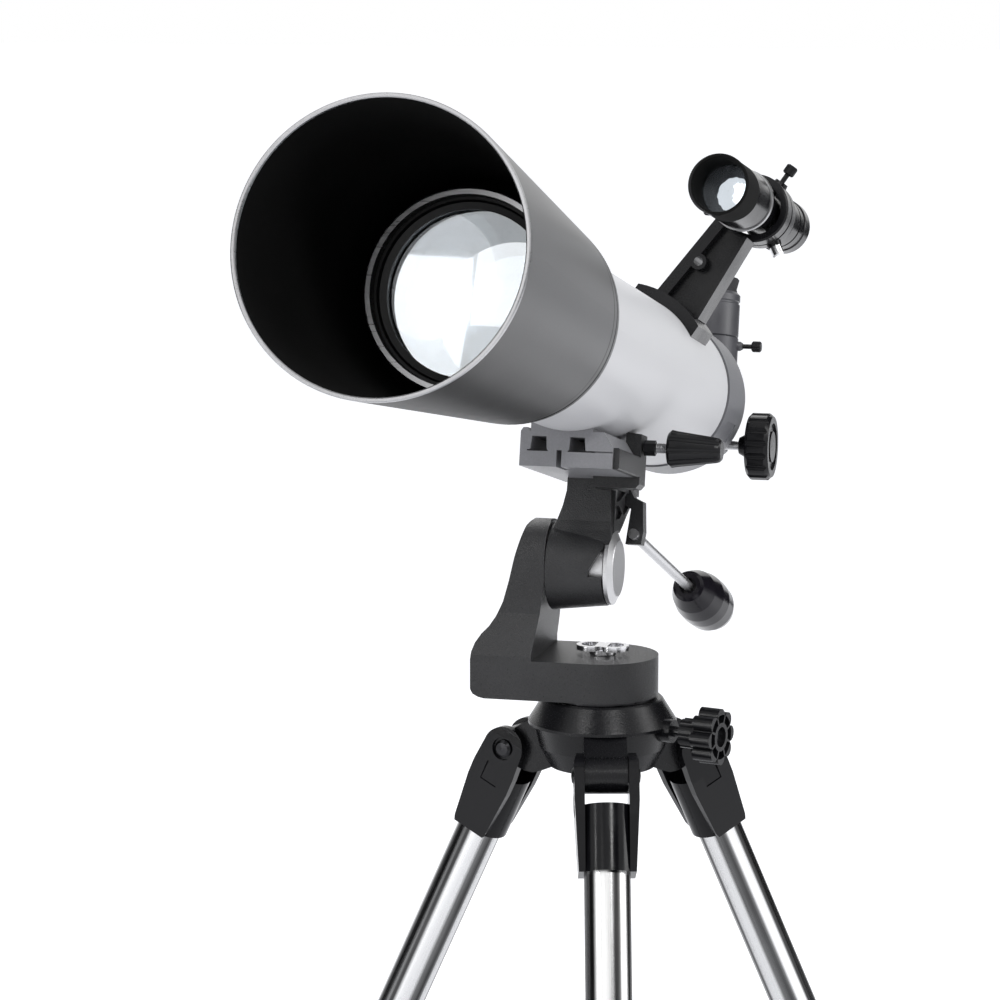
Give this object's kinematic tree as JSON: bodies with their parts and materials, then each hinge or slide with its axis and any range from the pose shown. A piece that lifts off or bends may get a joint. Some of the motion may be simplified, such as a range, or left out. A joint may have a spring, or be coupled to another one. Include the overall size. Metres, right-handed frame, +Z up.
{
  "type": "refracting telescope on a tripod",
  "caption": "Refracting telescope with flared dew shield and finder on a one-arm altazimuth head, pan handle and folding steel-legged tripod.",
  "frame": {"origin": "on the floor under the middle of the whole outline; the azimuth axis stands 41.9 mm toward +X and 49.2 mm toward +Y of it", "axes": "+Z up, the tube looks along -Y with its nose raised, the pan handle points to +Y"},
  "size_m": [0.5745, 0.7813, 0.9491],
  "materials": {
    "shield_black": "satin",
    "bright_trim": "polished",
    "cell_black": "matt",
    "coated_glass": "coated",
    "white_paint": "gloss",
    "grey_casting": "satin",
    "bright_steel": "polished",
    "black_knob": "satin",
    "grey_plastic": "satin",
    "mirror": "polished",
    "rubber": "matt",
    "head_black": "fine texture",
    "satin_alloy": "satin",
    "grip_black": "gloss",
    "tripod_black": "semi-gloss",
    "leg_steel": "drawn"
  },
  "bodies": {
    "stand": {"tripod_hub": "tripod_black", "azimuth_washer": "bright_steel", "pivot_bolts": "bright_steel"},
    "head": {"fork_arm": "head_black", "altitude_bolt": "bright_steel"},
    "tube": {"dew_shield": "shield_black", "shield_rim": "bright_trim", "lens_cell": "cell_black", "cell_ring": "cell_black", "crown_lens": "coated_glass", "flint_lens": "coated_glass", "main_tube": "white_paint", "tube_baffles": "cell_black", "rear_cell": "grey_casting", "focuser_body": "grey_casting", "finder_bracket": "head_black", "finder_tube": "grey_plastic", "finder_trim": "bright_trim", "finder_lens": "coated_glass", "finder_eyepiece": "grey_plastic", "finder_spring": "bright_steel", "tube_foot": "satin_alloy", "saddle": "satin_alloy", "altitude_bracket": "head_black", "handle_rod": "bright_steel", "handle_grip": "grip_black"},
    "azimuth_knob": {"azimuth_knob": "bright_trim"},
    "lock_knob": {"lock_knob": "black_knob"},
    "clamp_knob": {"clamp_knob": "black_knob"},
    "drawtube": {"drawtube": "bright_steel"},
    "pinion": {"pinion": "bright_steel", "focus_knobs": "black_knob"},
    "drawtube_screw": {"drawtube_screw": "black_knob"},
    "diagonal": {"diagonal_body": "grey_plastic", "diagonal_mirror": "mirror"},
    "diagonal_screw": {"diagonal_screw": "black_knob"},
    "eyepiece": {"eyepiece_barrel": "bright_steel", "eyepiece_body": "grey_plastic", "eyecup": "rubber", "eye_lens": "coated_glass"},
    "finder_screw_top": {"finder_screw_top": "black_knob"},
    "finder_screw_side": {"finder_screw_side": "black_knob"},
    "leg_1": {"leg_bracket_1": "tripod_black", "upper_leg_1": "leg_steel", "leg_clamp_1": "tripod_black"},
    "lower_1": {"lower_leg_1": "leg_steel", "rubber_foot_1": "rubber"},
    "leg_knob_1": {"leg_knob_1": "black_knob"},
    "leg_2": {"leg_bracket_2": "tripod_black", "upper_leg_2": "leg_steel", "leg_clamp_2": "tripod_black"},
    "lower_2": {"lower_leg_2": "leg_steel", "rubber_foot_2": "rubber"},
    "leg_knob_2": {"leg_knob_2": "black_knob"},
    "leg_3": {"leg_bracket_3": "tripod_black", "upper_leg_3": "leg_steel", "leg_clamp_3": "tripod_black"},
    "lower_3": {"lower_leg_3": "leg_steel", "rubber_foot_3": "rubber"},
    "leg_knob_3": {"leg_knob_3": "black_knob"}
  },
  "joints": [
    {"name": "azimuth", "type": "hinge", "parent": "stand", "child": "head", "pos_m": [0.04194, 0.04916, 0.62001], "axis": [0, 0, 1], "continuous": true},
    {"name": "altitude", "type": "hinge", "parent": "head", "child": "tube", "pos_m": [0.04194, 0.04916, 0.66881], "axis": [-1, 0, 0], "range_deg": [-28, 32]},
    {"name": "azimuth_knob_turn", "type": "hinge", "parent": "stand", "child": "azimuth_knob", "pos_m": [0.04194, 0.04916, 0.62001], "axis": [0, 0, 1], "continuous": true},
    {"name": "lock_knob_turn", "type": "hinge", "parent": "stand", "child": "lock_knob", "pos_m": [0.09989, 0.03363, 0.58051], "axis": [0.9659, -0.2588, 0], "continuous": true},
    {"name": "clamp_knob_turn", "type": "hinge", "parent": "tube", "child": "clamp_knob", "pos_m": [0.08293, 0.03956, 0.73836], "axis": [1, 0, 0], "continuous": true},
    {"name": "focus", "type": "slide", "parent": "tube", "child": "drawtube", "axis": [0, 0.9744, -0.225], "range_m": [-0.0025, 0.06]},
    {"name": "pinion_turn", "type": "hinge", "parent": "tube", "child": "pinion", "pos_m": [0.03794, 0.25381, 0.7106], "axis": [-1, 0, 0], "range_deg": [-40, 700]},
    {"name": "drawtube_screw_turn", "type": "hinge", "parent": "drawtube", "child": "drawtube_screw", "pos_m": [0.03794, 0.33062, 0.74547], "axis": [0, 0.225, 0.9744], "continuous": true},
    {"name": "diagonal_turn", "type": "hinge", "parent": "drawtube", "child": "diagonal", "pos_m": [0.03794, 0.33181, 0.71953], "axis": [0, 0.9744, -0.225], "continuous": true},
    {"name": "diagonal_screw_turn", "type": "hinge", "parent": "diagonal", "child": "diagonal_screw", "pos_m": [0.06294, 0.36269, 0.75859], "axis": [1, 0, 0], "continuous": true},
    {"name": "eyepiece_lift", "type": "slide", "parent": "diagonal", "child": "eyepiece", "axis": [0, 0.225, 0.9744], "range_m": [0, 0.03]},
    {"name": "finder_screw_top_turn", "type": "hinge", "parent": "tube", "child": "finder_screw_top", "pos_m": [0.11664, 0.18953, 0.87675], "axis": [0.5446, 0.1887, 0.8172], "continuous": true},
    {"name": "finder_screw_side_turn", "type": "hinge", "parent": "tube", "child": "finder_screw_side", "pos_m": [0.0796, 0.18529, 0.85837], "axis": [-0.9986, 0.0118, 0.051], "continuous": true},
    {"name": "leg_1_fold", "type": "hinge", "parent": "stand", "child": "leg_1", "pos_m": [0.05599, -0.00329, 0.56301], "axis": [0.9659, 0.2588, 0], "range_deg": [0, 25]},
    {"name": "leg_1_extend", "type": "slide", "parent": "leg_1", "child": "lower_1", "axis": [0.1118, -0.4174, -0.9018], "range_m": [0, 0.43]},
    {"name": "leg_1_knob_turn", "type": "hinge", "parent": "leg_1", "child": "leg_knob_1", "pos_m": [0.12261, -0.25193, 0.07204], "axis": [0.2334, -0.8711, 0.4321], "continuous": true},
    {"name": "leg_2_fold", "type": "hinge", "parent": "stand", "child": "leg_2", "pos_m": [0.08033, 0.08756, 0.56301], "axis": [-0.7071, 0.7071, 0], "range_deg": [0, 25]},
    {"name": "leg_2_extend", "type": "slide", "parent": "leg_2", "child": "lower_2", "axis": [0.3055, 0.3055, -0.9018], "range_m": [0, 0.43]},
    {"name": "leg_2_knob_turn", "type": "hinge", "parent": "leg_2", "child": "leg_knob_2", "pos_m": [0.26235, 0.26957, 0.07204], "axis": [0.6377, 0.6377, 0.4321], "continuous": true},
    {"name": "leg_3_fold", "type": "hinge", "parent": "stand", "child": "leg_3", "pos_m": [-0.01051, 0.06321, 0.56301], "axis": [-0.2588, -0.9659, 0], "range_deg": [0, 25]},
    {"name": "leg_3_extend", "type": "slide", "parent": "leg_3", "child": "lower_3", "axis": [-0.4174, 0.1118, -0.9018], "range_m": [0, 0.43]},
    {"name": "leg_3_knob_turn", "type": "hinge", "parent": "leg_3", "child": "leg_knob_3", "pos_m": [-0.25916, 0.12984, 0.07204], "axis": [-0.8711, 0.2334, 0.4321], "continuous": true}
  ],
  "couplings": [
    {"joint": "pinion_turn", "follows": "focus", "rad_per_m": 200}
  ]
}
